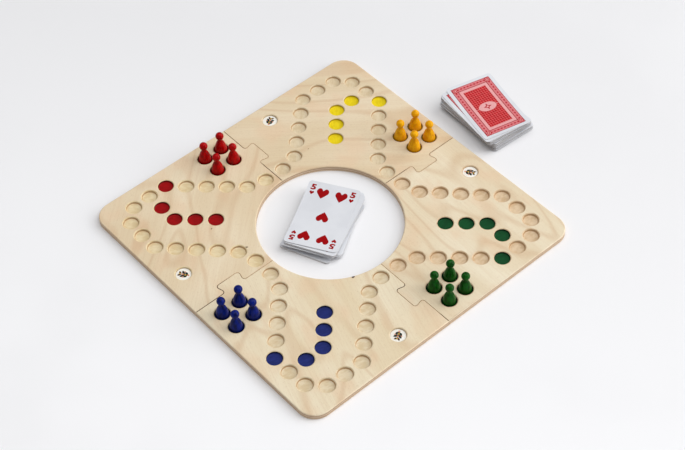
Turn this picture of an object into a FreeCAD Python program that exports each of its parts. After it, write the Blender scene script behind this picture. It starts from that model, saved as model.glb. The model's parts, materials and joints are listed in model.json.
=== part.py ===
# Race board game in millimetres: four interlocking plywood quarters with round pits, a picture
# disc in each quarter, sixteen pawns, and two piles of playing cards.
# The origin is the middle of the board, level with the table. +Z points up, and the quarters'
# seams run along X and Y.
import FreeCAD
import Part

import math
import os

import Sketcher

from FreeCAD import Placement, Rotation, Vector

UP = Vector(0, 0, 1)
COLOURS = ("yellow", "red", "blue", "green")

# Driving dimensions, in millimetres and degrees.
DIMENSIONS = {
    "board_side": 355.5,
    "board_thickness": 6.5,
    "corner_radius": 20.0,
    "well_diameter": 155.0,
    "seam_gap": 0.2,
    "tab_distance": 128.0,
    "tab_head_width": 28.0,
    "tab_reach": 12.5,
    "tab_flare": 15.0,
    "tab_rounding": 3.0,
    "pit_diameter": 16.4,
    "pit_depth": 2.6,
    "pit_pitch": 21.7,
    "path_edge_margin": 21.75,
    "path_corner_margin": 60.05,
    "lane_angle": 46.8,
    "path_end_angle": 74.7,
    "path_turn_angle": 94.2,
    "nest_pitch": 22.0,
    "nest_edge_margin": 18.95,
    "nest_seam_margin": 18.5,
    "disc_seam_margin": 48.2,
    "disc_thickness": 1.0,
    "disc_clearance": 0.2,
    "pawn_base_diameter": 13.8,
    "pawn_base_height": 2.0,
    "pawn_skirt_bulge": 0.9,
    "pawn_neck_diameter": 5.2,
    "pawn_neck_start": 15.8,
    "pawn_head_diameter": 9.0,
    "pawn_height": 26.4,
    "card_length": 88.0,
    "card_width": 57.0,
    "card_thickness": 0.3,
    "card_rounding": 3.5,
    "discard_x": -4.7,
    "discard_y": 4.7,
    "draw_pile_distance": 51.0,
}

# Packets of squared-up cards from the table up: name, cards in it, shift of its middle from
# its pile's middle along X and Y, and the angle of its long side from +X.
DISCARD_PACKETS = (
    ("discard_packet_1", 7, -2.5, -0.7, 22.5),
    ("discard_packet_2", 9, 4.2, 0.3, 32.5),
    ("discard_packet_3", 8, -1.6, 0.6, 28.0),
    ("discard_packet_4", 7, -0.2, -2.0, 26.8),
    ("discard_top_card", 1, 0.7, 2.5, 30.6),
)
DRAW_PACKETS = (
    ("draw_packet_1", 17, 2.2, 0.3, 86.5),
    ("draw_packet_2", 19, -0.2, 1.6, 88.0),
    ("draw_packet_3", 17, -2.3, 1.4, 82.8),
    ("draw_second_card", 1, -2.1, 1.0, 80.5),
    ("draw_top_card", 1, 2.3, 1.5, 75.8),
)

doc = FreeCAD.newDocument("race_board_game")
sheet = doc.addObject("Spreadsheet::Sheet", "dims")
for row, (alias, size) in enumerate(DIMENSIONS.items(), start=1):
    sheet.set(f"A{row}", alias)
    sheet.set(f"B{row}", str(size))
    sheet.setAlias(f"B{row}", alias)
doc.recompute()

parts = []


def value(alias):
    """A driving dimension as the sheet holds it now."""
    return float(sheet.get(alias))


def new_body(node):
    """An empty body whose label is the node's name."""
    body = doc.addObject("PartDesign::Body", node)
    body.Label = node
    parts.append(body)
    return body


def new_sketch(body, name, role="XY_Plane"):
    """A sketch on one of the body's own origin planes."""
    sketch = body.newObject("Sketcher::SketchObject", name)
    plane = next(feature for feature in body.Origin.OriginFeatures if feature.Role == role)
    sketch.AttachmentSupport = [(plane, "")]
    sketch.MapMode = "FlatFace"
    return sketch


def add_polygon(sketch, points):
    """Closed straight outline through the points, joined end to end."""
    count = len(points)
    first = sketch.GeometryCount
    for i, (x, y) in enumerate(points):
        next_x, next_y = points[(i + 1) % count]
        sketch.addGeometry(Part.LineSegment(Vector(x, y, 0), Vector(next_x, next_y, 0)), False)
    for i in range(count):
        sketch.addConstraint(
            Sketcher.Constraint("Coincident", first + i, 2, first + (i + 1) % count, 1)
        )


def bind(sketch, kind, where, guess, expression):
    """Adds a size constraint to a sketch and ties it to an expression on the sheet."""
    index = sketch.addConstraint(Sketcher.Constraint(kind, *where, guess))
    sketch.setExpression(f"Constraints[{index}]", expression)


def bind_point(sketch, geometry, point, x_value, y_value):
    """Ties a point of the sketch to the two expressions of its place from the origin."""
    here = sketch.getPoint(geometry, point)
    bind(sketch, "DistanceX", (-1, 1, geometry, point), here.x, x_value)
    bind(sketch, "DistanceY", (-1, 1, geometry, point), here.y, y_value)


def add_rectangle(sketch, length, width):
    """Rectangle centred on the sketch's origin, with its length and width as expressions."""
    guess_x, guess_y = 10.0, 5.0
    corners = ((-guess_x, -guess_y), (guess_x, -guess_y), (guess_x, guess_y), (-guess_x, guess_y))
    add_polygon(sketch, corners)
    for side, kind in enumerate(("Horizontal", "Vertical", "Horizontal", "Vertical")):
        sketch.addConstraint(Sketcher.Constraint(kind, side))
    sketch.addConstraint(Sketcher.Constraint("Symmetric", 0, 1, 2, 1, -1, 1))
    bind(sketch, "DistanceX", (0, 1, 0, 2), 2 * guess_x, length)
    bind(sketch, "DistanceY", (1, 1, 1, 2), 2 * guess_y, width)


def upright_edges(shape, places):
    """Names of the shape's vertical edges that stand at the given places in plan."""
    names = []
    for x, y in places:
        for number, edge in enumerate(shape.Edges, start=1):
            start, end = edge.Vertexes[0].Point, edge.Vertexes[-1].Point
            upright = abs(start.x - end.x) < 1e-4 and abs(start.y - end.y) < 1e-4
            if upright and math.hypot(start.x - x, start.y - y) < 1e-3:
                names.append(f"Edge{number}")
    if len(names) != len(places):
        raise ValueError(f"found {len(names)} upright edges where {len(places)} should stand")
    return names


def add_fillet(body, name, places, radius):
    """Rounds the body's vertical edges that stand at the given places."""
    doc.recompute()
    base = body.Tip
    fillet = body.newObject("PartDesign::Fillet", name)
    fillet.Base = (base, upright_edges(base.Shape, places))
    fillet.setExpression("Radius", radius)
    return fillet


# Board quarter: drawn in the corner where x and y are positive, then turned to its own corner.
HALF_SIDE = "dims.board_side / 2"
HALF_GAP = "dims.seam_gap / 2"


def flank_offset(grow):
    """Distance of a tab's sloping flank from the tab's foot on the seam, as an expression.

    It makes the head as wide as the sheet says once its corners are rounded. grow is an
    expression that moves the whole outline outwards.
    """
    head_centre = "(dims.tab_head_width / 2 - dims.tab_rounding)"
    head_height = "(dims.tab_reach - dims.tab_rounding)"
    return (
        f"({head_centre} * cos(dims.tab_flare) - {head_height} * sin(dims.tab_flare)"
        f" + dims.tab_rounding + {grow})"
    )


def flank_x(grow, height):
    """Half width of the tab at a height above the seam, as an expression."""
    return f"({flank_offset(grow)} + ({height}) * sin(dims.tab_flare)) / cos(dims.tab_flare)"


def flank_x_value(grow, height):
    """Half width of the tab at a height above the seam, in millimetres."""
    flare = math.radians(value("tab_flare"))
    rounding = value("tab_rounding")
    centre = value("tab_head_width") / 2 - rounding
    offset = centre * math.cos(flare) - (value("tab_reach") - rounding) * math.sin(flare)
    return (offset + rounding + grow + height * math.sin(flare)) / math.cos(flare)


TAB_OVERLAP = "dims.tab_rounding"


def draw_tab(sketch, grow):
    """Flared tab outline, pointing along the sketch's Y from below the seam to its head."""
    foot, head = 3.0, 12.0
    add_polygon(sketch, ((-foot, -foot), (foot, -foot), (head, head), (-head, head)))
    sketch.addConstraint(Sketcher.Constraint("Symmetric", 0, 1, 0, 2, -2))
    sketch.addConstraint(Sketcher.Constraint("Symmetric", 2, 1, 2, 2, -2))
    reach = f"dims.tab_reach + {grow}"
    bind(sketch, "DistanceX", (0, 1, 0, 2), 2 * foot, f"2 * {flank_x(grow, '-' + TAB_OVERLAP)}")
    bind(sketch, "DistanceX", (2, 2, 2, 1), 2 * head, f"2 * {flank_x(grow, reach)}")
    bind(sketch, "DistanceY", (0, 1, -1, 1), foot, TAB_OVERLAP)
    bind(sketch, "DistanceY", (-1, 1, 2, 1), head, reach)


def step(point, angle, steps=1):
    """The point reached from a point by whole pit pitches at an angle, as expressions."""
    x, y = point
    return (
        f"{x} + {steps} * dims.pit_pitch * cos({angle})",
        f"{y} + {steps} * dims.pit_pitch * sin({angle})",
    )


def path_pits():
    """Middles of the sixteen path pits of a quarter, from one seam to the other."""
    turn = (f"{HALF_SIDE} - dims.path_edge_margin", f"{HALF_SIDE} - dims.path_corner_margin")
    start = step(turn, "-90")
    lane = [step(start, "180 + dims.lane_angle", steps) for steps in (4, 3, 2, 1)]
    first = step(lane[0], "180 + dims.path_end_angle")
    corner = step(turn, "dims.path_turn_angle")
    half = [first, *lane, start, turn, corner]
    return half + [(y, x) for x, y in reversed(half)]


def finish_pits():
    """Middles of the four finish pits, from the path inwards."""
    turn = (f"{HALF_SIDE} - dims.path_edge_margin", f"{HALF_SIDE} - dims.path_corner_margin")
    outer = step(turn, "180", 1)
    bend = step(turn, "180", 2)
    inner = [step(bend, "180 + dims.lane_angle", steps) for steps in (1, 2)]
    return [outer, bend, *inner]


def nest_pits():
    """Middles of the four pits where a colour's pawns wait."""
    corner_x = f"{HALF_SIDE} - dims.nest_edge_margin"
    return [
        (f"{corner_x} - {column} * dims.nest_pitch", f"dims.nest_seam_margin + {line} * dims.nest_pitch")
        for line in (0, 1)
        for column in (0, 1)
    ]


DISC_PLACE = ("dims.disc_seam_margin", f"{HALF_SIDE} - dims.path_edge_margin")


def number(expression):
    """What an expression on the sheet comes to, in millimetres."""
    result = sheet.evalExpression(expression)
    return float(getattr(result, "Value", result))


def draw_pits(sketch, places):
    """One circle of the pit's diameter at each place."""
    for x, y in places:
        centre = Vector(number(x), number(y), 0)
        circle = sketch.addGeometry(Part.Circle(centre, UP, value("pit_diameter") / 2), False)
        bind(sketch, "Diameter", (circle,), value("pit_diameter"), "dims.pit_diameter")
        bind_point(sketch, circle, 3, x, y)


def build_quarter(colour, turn):
    """One plywood quarter: blank, tab, socket, rounded corner, well and pits."""
    body = new_body(f"board_quarter_{colour}")

    blank = new_sketch(body, f"blank_outline_{colour}")
    low, high = value("seam_gap") / 2, value("board_side") / 2
    add_polygon(blank, ((low, low), (high, low), (high, high), (low, high)))
    for side, kind in enumerate(("Horizontal", "Vertical", "Horizontal", "Vertical")):
        blank.addConstraint(Sketcher.Constraint(kind, side))
    bind_point(blank, 0, 1, HALF_GAP, HALF_GAP)
    bind_point(blank, 2, 1, HALF_SIDE, HALF_SIDE)
    pad = body.newObject("PartDesign::Pad", f"blank_{colour}")
    pad.Profile = blank
    pad.setExpression("Length", "dims.board_thickness")

    tab = new_sketch(body, f"tab_outline_{colour}")
    tab.AttachmentOffset = Placement(Vector(), Rotation(UP, 180))
    tab.setExpression("AttachmentOffset.Base.x", "dims.tab_distance")
    draw_tab(tab, f"(0 - {HALF_GAP})")
    tab_pad = body.newObject("PartDesign::Pad", f"tab_{colour}")
    tab_pad.Profile = tab
    tab_pad.setExpression("Length", "dims.board_thickness")

    socket = new_sketch(body, f"socket_outline_{colour}")
    socket.AttachmentOffset = Placement(Vector(), Rotation(UP, -90))
    socket.setExpression("AttachmentOffset.Base.y", "dims.tab_distance")
    socket.setExpression("AttachmentOffset.Base.z", "dims.board_thickness")
    draw_tab(socket, HALF_GAP)
    socket_cut = body.newObject("PartDesign::Pocket", f"socket_{colour}")
    socket_cut.Profile = socket
    socket_cut.Type = "ThroughAll"

    half_gap, reach, along = value("seam_gap") / 2, value("tab_reach"), value("tab_distance")
    tab_head = flank_x_value(-half_gap, reach - half_gap)
    tab_foot = flank_x_value(-half_gap, -half_gap)
    socket_head = flank_x_value(half_gap, reach + half_gap)
    socket_foot = flank_x_value(half_gap, half_gap)
    smaller, larger = [], []
    for side in (-1, 1):
        smaller.append((along + side * tab_head, half_gap - reach))
        smaller.append((half_gap, along + side * socket_foot))
        larger.append((along + side * tab_foot, half_gap))
        larger.append((half_gap + reach, along + side * socket_head))
    add_fillet(body, f"tab_head_{colour}", smaller, f"dims.tab_rounding - {HALF_GAP}")
    add_fillet(body, f"tab_foot_{colour}", larger, f"dims.tab_rounding + {HALF_GAP}")
    add_fillet(body, f"corner_{colour}", [(high, high)], "dims.corner_radius")

    rim = new_sketch(body, f"well_outline_{colour}")
    rim.setExpression("AttachmentOffset.Base.z", "dims.board_thickness")
    circle = rim.addGeometry(Part.Circle(Vector(), UP, value("well_diameter") / 2), False)
    rim.addConstraint(Sketcher.Constraint("Coincident", circle, 3, -1, 1))
    bind(rim, "Diameter", (circle,), value("well_diameter"), "dims.well_diameter")
    well = body.newObject("PartDesign::Pocket", f"well_{colour}")
    well.Profile = rim
    well.Type = "ThroughAll"

    holes = new_sketch(body, f"pit_outlines_{colour}")
    holes.setExpression("AttachmentOffset.Base.z", "dims.board_thickness")
    draw_pits(holes, path_pits() + finish_pits() + nest_pits() + [DISC_PLACE])
    pits = body.newObject("PartDesign::Pocket", f"pits_{colour}")
    pits.Profile = holes
    pits.setExpression("Length", "dims.pit_depth")
    body.Placement = Placement(Vector(), Rotation(UP, turn))
    return body


def place_in_quarter(body, place, turn, height):
    """Moves a body from the origin to a place of a quarter and turns it with that quarter."""
    x, y = place
    body.Placement = Placement(Vector(), Rotation(UP, turn))
    cosine, sine = round(math.cos(math.radians(turn))), round(math.sin(math.radians(turn)))
    body.setExpression("Placement.Base.x", f"({x}) * {cosine} - ({y}) * {sine}")
    body.setExpression("Placement.Base.y", f"({x}) * {sine} + ({y}) * {cosine}")
    body.setExpression("Placement.Base.z", height)


PIT_FLOOR = "dims.board_thickness - dims.pit_depth"


def build_disc(colour, turn):
    """Round picture disc that lies in its recess of the quarter."""
    body = new_body(f"picture_disc_{colour}")
    outline = new_sketch(body, f"disc_outline_{colour}")
    circle = outline.addGeometry(Part.Circle(Vector(), UP, value("pit_diameter") / 2), False)
    outline.addConstraint(Sketcher.Constraint("Coincident", circle, 3, -1, 1))
    size = "dims.pit_diameter - 2 * dims.disc_clearance"
    bind(outline, "Diameter", (circle,), number(size), size)
    pad = body.newObject("PartDesign::Pad", f"disc_{colour}")
    pad.Profile = outline
    pad.setExpression("Length", "dims.disc_thickness")
    place_in_quarter(body, DISC_PLACE, turn, PIT_FLOOR)


SKIRT_DEPTH = "((dims.pawn_base_diameter - dims.pawn_neck_diameter) / 2)"
SKIRT_HEIGHT = "(dims.pawn_neck_start - dims.pawn_base_height)"
SKIRT_RADIUS = (
    f"({SKIRT_DEPTH}^2 + {SKIRT_HEIGHT}^2) / (8 * dims.pawn_skirt_bulge) + dims.pawn_skirt_bulge / 2"
)


def build_pawn(colour, turn, index, place):
    """Turned pawn: flat base rim, rounded skirt, thin neck and ball head, in one revolve."""
    body = new_body(f"pawn_{colour}_{index}")
    profile = new_sketch(body, f"pawn_profile_{colour}_{index}", "XZ_Plane")
    base, rim = value("pawn_base_diameter") / 2, value("pawn_base_height")
    neck, neck_start = value("pawn_neck_diameter") / 2, value("pawn_neck_start")
    head, top = value("pawn_head_diameter") / 2, value("pawn_height")
    neck_end = top - head - math.sqrt(head**2 - neck**2)
    skirt_radius = number(SKIRT_RADIUS)
    foot, shoulder = Vector(base, rim, 0), Vector(neck, neck_start, 0)
    chord = shoulder - foot
    outwards = Vector(chord.y, -chord.x, 0).normalize()
    bulged = (foot + shoulder) / 2 + outwards * value("pawn_skirt_bulge")
    pieces = (
        Part.LineSegment(Vector(), Vector(base, 0, 0)),
        Part.LineSegment(Vector(base, 0, 0), foot),
        Part.Arc(foot, bulged, shoulder),
        Part.LineSegment(shoulder, Vector(neck, neck_end, 0)),
        Part.Arc(Vector(neck, neck_end, 0), Vector(head, top - head, 0), Vector(0, top, 0)),
        Part.LineSegment(Vector(0, top, 0), Vector()),
    )
    floor, edge, skirt, stem, ball, axis = (profile.addGeometry(piece, False) for piece in pieces)
    for here, after in ((floor, edge), (edge, skirt), (skirt, stem), (stem, ball), (ball, axis)):
        profile.addConstraint(Sketcher.Constraint("Coincident", here, 2, after, 1))
    profile.addConstraint(Sketcher.Constraint("Coincident", axis, 2, floor, 1))
    profile.addConstraint(Sketcher.Constraint("Coincident", floor, 1, -1, 1))
    profile.addConstraint(Sketcher.Constraint("Horizontal", floor))
    for line in (edge, stem, axis):
        profile.addConstraint(Sketcher.Constraint("Vertical", line))
    profile.addConstraint(Sketcher.Constraint("PointOnObject", ball, 3, -2))
    bind(profile, "DistanceX", (floor, 1, floor, 2), base, "dims.pawn_base_diameter / 2")
    bind(profile, "DistanceY", (edge, 1, edge, 2), rim, "dims.pawn_base_height")
    bind(profile, "Radius", (skirt,), skirt_radius, SKIRT_RADIUS)
    bind_point(profile, skirt, 2, "dims.pawn_neck_diameter / 2", "dims.pawn_neck_start")
    bind(profile, "Radius", (ball,), head, "dims.pawn_head_diameter / 2")
    bind(profile, "DistanceY", (-1, 1, ball, 2), top, "dims.pawn_height")
    turned = body.newObject("PartDesign::Revolution", f"pawn_turning_{colour}_{index}")
    turned.Profile = profile
    turned.ReferenceAxis = (profile, ["V_Axis"])
    turned.Angle = 360
    place_in_quarter(body, place, turn, PIT_FLOOR)


def build_packet(node, cards, below, pile_x, pile_y, shift_x, shift_y, angle):
    """Packet of squared-up cards that lies on the cards below it, counted from the table."""
    body = new_body(node)
    outline = new_sketch(body, f"{node}_outline")
    add_rectangle(outline, "dims.card_length", "dims.card_width")
    pad = body.newObject("PartDesign::Pad", f"{node}_stack")
    pad.Profile = outline
    pad.setExpression("Length", f"{cards} * dims.card_thickness")
    half_length, half_width = value("card_length") / 2, value("card_width") / 2
    corners = [(x * half_length, y * half_width) for x in (-1, 1) for y in (-1, 1)]
    add_fillet(body, f"{node}_corners", corners, "dims.card_rounding")
    body.Placement = Placement(Vector(), Rotation(UP, angle))
    body.setExpression("Placement.Base.x", f"{pile_x} + {shift_x}")
    body.setExpression("Placement.Base.y", f"{pile_y} + {shift_y}")
    body.setExpression("Placement.Base.z", f"{below} * dims.card_thickness")


def build_pile(packets, pile_x, pile_y):
    """A pile of packets, each one on top of the one before."""
    below = 0
    for node, cards, shift_x, shift_y, angle in packets:
        build_packet(node, cards, below, pile_x, pile_y, shift_x, shift_y, angle)
        below += cards


for quarter, colour in enumerate(COLOURS):
    turn = 90 * quarter
    build_quarter(colour, turn)
    build_disc(colour, turn)
    for index, place in enumerate(nest_pits(), start=1):
        build_pawn(colour, turn, index, place)
build_pile(DISCARD_PACKETS, "dims.discard_x", "dims.discard_y")
build_pile(DRAW_PACKETS, f"{HALF_SIDE} + dims.draw_pile_distance", "0")
doc.recompute()

for item in doc.Objects:
    if {"Invalid", "Error"} & set(item.State):
        raise RuntimeError(f"{item.Label} did not recompute: {item.State}")
for part in parts:
    if part.Shape.isNull() or not part.Shape.isValid() or part.Shape.Volume <= 0:
        raise RuntimeError(f"{part.Label} has no valid shape")

os.makedirs("parts", exist_ok=True)
for part in parts:
    part.Shape.exportStep(f"parts/{part.Label}.step")
    print(part.Label, round(part.Shape.Volume, 1), len(part.Shape.Solids))
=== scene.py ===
"""Looks of a race board game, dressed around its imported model.

The board is birch plywood in four interlocking quarters, with round pits milled into it, a printed
disc in each quarter, sixteen lacquered pawns and two piles of playing cards.
"""

import json
import logging
import math
import random
from collections.abc import Callable, Iterator, Sequence
from contextlib import contextmanager
from dataclasses import dataclass
from enum import Enum
from typing import Any, ClassVar

import bmesh
import bpy
from bmesh.types import BMEdge, BMesh
from bpy.types import Material, MeshPolygon, Node, NodeSocket, NodeTree, Object
from mathutils import Matrix, Vector


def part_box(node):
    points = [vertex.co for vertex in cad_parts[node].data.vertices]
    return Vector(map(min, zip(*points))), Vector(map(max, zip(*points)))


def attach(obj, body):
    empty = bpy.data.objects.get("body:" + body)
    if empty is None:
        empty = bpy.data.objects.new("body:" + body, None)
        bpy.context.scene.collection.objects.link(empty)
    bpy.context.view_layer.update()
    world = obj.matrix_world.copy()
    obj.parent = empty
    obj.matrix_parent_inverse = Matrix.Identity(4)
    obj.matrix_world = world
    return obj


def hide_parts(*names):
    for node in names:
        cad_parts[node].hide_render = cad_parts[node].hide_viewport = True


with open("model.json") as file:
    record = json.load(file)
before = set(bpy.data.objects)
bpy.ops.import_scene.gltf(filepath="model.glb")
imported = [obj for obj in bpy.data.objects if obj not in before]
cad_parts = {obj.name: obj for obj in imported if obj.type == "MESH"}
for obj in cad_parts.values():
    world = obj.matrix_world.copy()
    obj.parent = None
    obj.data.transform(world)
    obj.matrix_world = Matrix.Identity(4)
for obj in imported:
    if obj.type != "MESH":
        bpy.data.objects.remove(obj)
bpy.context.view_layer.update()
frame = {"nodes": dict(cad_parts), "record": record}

logging.basicConfig(level=logging.INFO, format="%(message)s")
log = logging.getLogger("race_board_game")

MM = 0.001

# Layers of veneer in the board's plywood.
PLIES = 5

# Faces that meet at less than this angle, in degrees, are one flat face of a CAD solid.
FLAT_ANGLE = 0.3


class Player(Enum):
    """The four players, in the order of their quarters round the board."""

    YELLOW = "yellow"
    RED = "red"
    BLUE = "blue"
    GREEN = "green"

    @property
    def turn(self) -> float:
        """Angle from the quarter between +X and +Y to the player's own, in radians."""
        return math.radians(90 * list(Player).index(self))


# Colours and shader nodes


def linear(colour: str) -> tuple[float, float, float, float]:
    """Turns an sRGB hex colour to linear red, green, blue and alpha.

    Args:
        colour: "#" and six hex digits.

    Returns:
        Four numbers from 0 to 1.
    """
    channels = [int(colour[i : i + 2], 16) / 255 for i in (1, 3, 5)]
    toned = [c / 12.92 if c <= 0.04045 else ((c + 0.055) / 1.055) ** 2.4 for c in channels]
    return (*toned, 1.0)


def add_node(
    tree: NodeTree,
    kind: str,
    inputs: dict[str | int, Any] | None = None,
    feeds: NodeSocket | None = None,
    **settings: Any,
) -> Node:
    """Adds a shader node with its settings and links.

    Args:
        tree: the node tree of the material or world.
        kind: what follows "ShaderNode" in the node's type.
        inputs: what each input gets, by the input's name or number: a value, a socket, or a node,
            which stands for its first output in use.
        feeds: an input of another node that gets this node's first output in use.
        settings: the node's own properties.

    Returns:
        The new node.
    """
    node = tree.nodes.new(f"ShaderNode{kind}")
    for name, setting in settings.items():
        setattr(node, name, setting)
    for key, given in (inputs or {}).items():
        numbered = isinstance(key, int)
        named = (socket for socket in node.inputs if socket.enabled and socket.name == key)
        socket = node.inputs[key] if numbered else next(named)
        if isinstance(given, Node):
            given = next(output for output in given.outputs if output.enabled)
        if isinstance(given, NodeSocket):
            tree.links.new(given, socket)
        else:
            socket.default_value = given
    if feeds is not None:
        tree.links.new(next(output for output in node.outputs if output.enabled), feeds)
    return node


@dataclass(frozen=True)
class Unevenness:
    """Natural unevenness with blotches of a real size, drawn out along a direction of the board.

    The size is a blotch's length, width and height in millimetres, and the turn is the angle of
    its length from +X in degrees. A seed, in blotches, makes two like patterns differ.
    """

    size: tuple[float, float, float]
    turn: float = 0.0
    seed: float = 0.0
    detail: float = 2.0
    distortion: float = 0.0

    def draw(self, tree: NodeTree) -> Node:
        """Draws the pattern.

        Args:
            tree: the material's node tree.

        Returns:
            The node of the pattern, whose factor is mostly from 0.3 to 0.7.
        """
        inputs = {
            "Vector": add_node(tree, "TexCoord").outputs["Object"],
            "Location": (0.0, 0.0, self.seed * self.size[2] * MM),
            "Rotation": (0.0, 0.0, math.radians(self.turn)),
            "Scale": tuple(side * MM for side in self.size),
        }
        along = add_node(tree, "Mapping", inputs, vector_type="TEXTURE")
        inputs = {"Scale": 1.0, "Detail": self.detail, "Distortion": self.distortion}
        return add_node(tree, "TexNoise", {"Vector": along, **inputs})


@dataclass(frozen=True)
class Tinge:
    """A colour that shows over another where a pattern is strong.

    It starts where the pattern reaches the low value and is fullest, by its strength, at the high
    one.
    """

    colour: str | Node
    low: float
    high: float
    strength: float = 1.0

    def over(self, under: str | Node, pattern: Node | NodeSocket) -> Node:
        """Lays the colour over another.

        Args:
            under: the other colour, or the node that gives it.
            pattern: the node or socket that gives the pattern.

        Returns:
            The node that gives the blended colour.
        """
        tree = pattern.id_data
        inputs = {"Value": pattern, "From Min": self.low, "From Max": self.high}
        inputs["To Max"] = self.strength
        share = add_node(tree, "MapRange", inputs, interpolation_type="SMOOTHSTEP")
        below, above = (linear(c) if isinstance(c, str) else c for c in (under, self.colour))
        return add_node(tree, "Mix", {"Factor": share, "A": below, "B": above}, data_type="RGBA")


Drawn = tuple[Node, Node | None, float]


@dataclass(frozen=True)
class Finish:
    """A finish: how its surface is all over, and what is drawn on it.

    The constants are inputs of the principled surface, by name.
    """

    name: str
    constants: ClassVar[dict[str, float]] = {}

    def draw(self, tree: NodeTree) -> Drawn:
        """Draws the colour and the relief. Each kind of finish has its own way.

        Args:
            tree: the material's node tree.

        Returns:
            The node that gives the colour, the one that gives the relief, from 0 to 1, or None,
            and the height of the relief where that gives 1, in millimetres.
        """
        raise NotImplementedError

    def material(self) -> Material:
        """Makes a material of the finish, on a principled surface."""
        material = bpy.data.materials.new(self.name)
        material.use_nodes = True
        tree = material.node_tree
        surface = tree.nodes["Principled BSDF"]
        for key, constant in self.constants.items():
            surface.inputs[key].default_value = constant
        colour, relief, depth = self.draw(tree)
        shown = next(output for output in colour.outputs if output.enabled)
        tree.links.new(shown, surface.inputs["Base Color"])
        if relief is not None:
            inputs = {"Height": relief, "Distance": depth * MM}
            add_node(tree, "Bump", inputs, feeds=surface.inputs["Normal"])
        return material


# Wood and paint


@dataclass(frozen=True)
class KnotOrShadePatch:
    """A dark mark in millimetres on the board: a knot, chip or bark, or painted shade in a seam.
    """

    x: float
    y: float
    length: float
    width: float
    angle: float
    colour: str = "#4A3020"
    raggedness: float = 1.0

    def draw(self, tree: NodeTree, colour: Node) -> Node:
        """Darkens an oval with a ragged rim.

        Args:
            tree: the material's node tree.
            colour: the node that gives the colour so far.

        Returns:
            The node that gives the colour with the mark.
        """
        inputs = {
            "Vector": add_node(tree, "TexCoord").outputs["Object"],
            "Location": (self.x * MM, self.y * MM, 0.0),
            "Rotation": (0.0, 0.0, math.radians(self.angle)),
            "Scale": (self.length * MM / 2, self.width * MM / 2, 1.0),
        }
        oval = add_node(tree, "Mapping", inputs, vector_type="TEXTURE")
        reach = add_node(tree, "VectorMath", {0: oval}, operation="LENGTH")
        ragged = Unevenness((0.9, 0.9, 0.9), detail=3.0).draw(tree)
        inputs = {0: ragged, 1: self.raggedness, 2: reach.outputs["Value"]}
        edge = add_node(tree, "Math", inputs, operation="MULTIPLY_ADD")
        middle = 1.0 + 0.5 * self.raggedness
        return Tinge(self.colour, middle + 0.15, middle - 0.25).over(colour, edge)


@dataclass(frozen=True)
class BirchVeneer(Finish):
    """Rotary-cut birch, sanded smooth and clear sealed: pale and nearly matt.

    The knife peels the log along its rings, so the eye sees wide, soft, flowing contour lines of
    little contrast, with fine short fibres along them and a pink or yellow blush here and there.
    """

    constants = {"Roughness": 0.55, "IOR": 1.45}
    grain: float
    seed: float
    pale: str
    deep: str
    blush: str = "#E2C2A0"
    line: str = "#C39B70"
    figure: tuple[float, float, float] = (210.0, 75.0, 210.0)
    rings: float = 7.0
    ring_strength: float = 0.3
    distortion: float = 0.25
    fibre: tuple[float, float, float] = (45.0, 1.5, 20.0)
    fibre_strength: float = 0.14
    fleck: tuple[float, float, float] = (3.0, 0.6, 3.0)
    relief: float = 0.015
    knots: tuple[KnotOrShadePatch, ...] = ()

    def draw(self, tree: NodeTree) -> Drawn:
        """Draws the veneer's tone, contour lines, blush, fibres, flecks and knots."""
        contours = Unevenness(self.figure, self.grain, self.seed, 1.0, self.distortion)
        flow = contours.draw(tree)
        rings = add_node(tree, "Math", {0: flow, 1: self.rings}, operation="MULTIPLY")
        rings = add_node(tree, "Math", {0: rings, 1: 0.5}, operation="PINGPONG")
        tone = Unevenness((160.0, 48.0, 160.0), self.grain, self.seed + 1).draw(tree)
        warm = Unevenness((42.0, 30.0, 42.0), self.grain, self.seed + 2).draw(tree)
        fibres = Unevenness(self.fibre, self.grain, self.seed + 3, detail=3.0).draw(tree)
        flecks = Unevenness(self.fleck, self.grain, self.seed + 4, detail=1.0).draw(tree)
        colour = Tinge(self.deep, 0.32, 0.68).over(self.pale, tone)
        colour = Tinge(self.blush, 0.48, 0.7, 0.45).over(colour, warm)
        colour = Tinge(self.line, 0.3, 0.5, self.ring_strength).over(colour, rings)
        colour = Tinge(self.line, 0.4, 0.75, self.fibre_strength).over(colour, fibres)
        colour = Tinge("#A98459", 0.58, 0.74, 0.22).over(colour, flecks)
        for knot in self.knots:
            colour = knot.draw(tree, colour)
        return colour, fibres, self.relief


@dataclass(frozen=True)
class MilledBirch(Finish):
    """Floor of a pit, cut by a spinning bit into the plies: bare, matt and a little fuzzy.

    The bit cuts the fibres short, so the eye sees a slightly rougher, mottled wood with short
    darker streaks along the ply that it has bared.
    """

    constants = {"Roughness": 0.7, "IOR": 1.45}
    grain: float
    pale: str
    deep: str
    relief: float = 0.05

    def draw(self, tree: NodeTree) -> Drawn:
        """Draws the cut fibres and the mottle of the ply."""
        fibres = Unevenness((9.0, 1.1, 9.0), self.grain, 5.0, detail=3.0).draw(tree)
        mottle = Unevenness((7.0, 4.5, 7.0), self.grain, 9.0, detail=2.0).draw(tree)
        colour = Tinge(self.deep, 0.34, 0.66).over(self.pale, mottle)
        colour = Tinge("#B98F63", 0.5, 0.75, 0.22).over(colour, fibres)
        return colour, fibres, self.relief


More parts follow.
